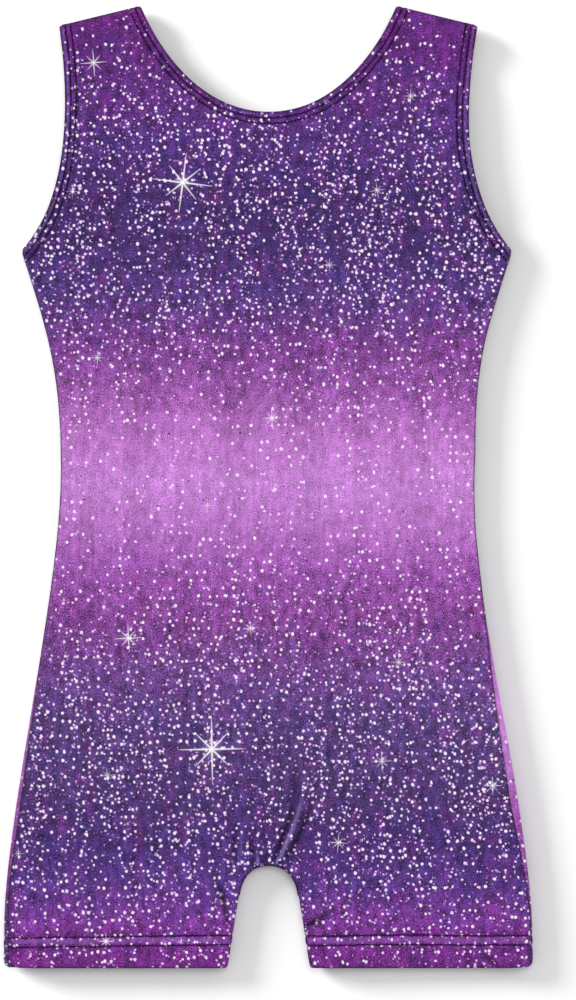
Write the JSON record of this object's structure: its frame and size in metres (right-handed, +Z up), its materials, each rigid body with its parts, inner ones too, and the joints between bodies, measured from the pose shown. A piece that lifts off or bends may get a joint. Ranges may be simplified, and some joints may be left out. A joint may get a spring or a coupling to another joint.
{
  "type": "gymnastics leotard",
  "caption": "Child's sleeveless gymnastics leotard with short legs, laid flat: two stretch-knit panels, elastic edges, seams, gusset and stitched hems.",
  "frame": {"origin": "centre of the laid garment's box, on the surface that its back lies on", "axes": "+X towards the wearer's left side, +Y towards the shoulders, +Z up out of the front panel"},
  "size_m": [0.309, 0.5599, 0.014],
  "materials": {
    "front_fabric": "nylon and elastane warp knit with a satin face, violet to orchid ombre print, pale foil dots",
    "back_fabric": "the same printed knit, with the ombre half a repeat further along",
    "lining_fabric": "soft white single jersey",
    "label_satin": "plain woven satin with no print",
    "elastic": "pale flat rubber elastic",
    "stay_tape": "clear matt stretch tape",
    "thread": "dark violet textured polyester thread"
  },
  "bodies": {
    "root": {"front_panel": "front_fabric", "back_panel": "back_fabric", "crotch_gusset": "back_fabric", "crotch_lining": "lining_fabric", "care_label": "label_satin", "neck_elastic": "elastic", "left_armhole_elastic": "elastic", "right_armhole_elastic": "elastic", "left_shoulder_tape": "stay_tape", "right_shoulder_tape": "stay_tape", "left_shoulder_seam": "thread", "right_shoulder_seam": "thread", "left_side_seam": "thread", "right_side_seam": "thread", "left_inseam": "thread", "right_inseam": "thread", "front_gusset_seam": "thread", "back_gusset_seam": "thread", "neck_edge_stitches": "thread", "neck_inner_stitches": "thread", "left_armhole_edge_stitches": "thread", "right_armhole_edge_stitches": "thread", "left_armhole_inner_stitches": "thread", "right_armhole_inner_stitches": "thread", "left_hem_edge_stitches": "thread", "right_hem_edge_stitches": "thread", "left_hem_inner_stitches": "thread", "right_hem_inner_stitches": "thread"}
  },
  "joints": []
}
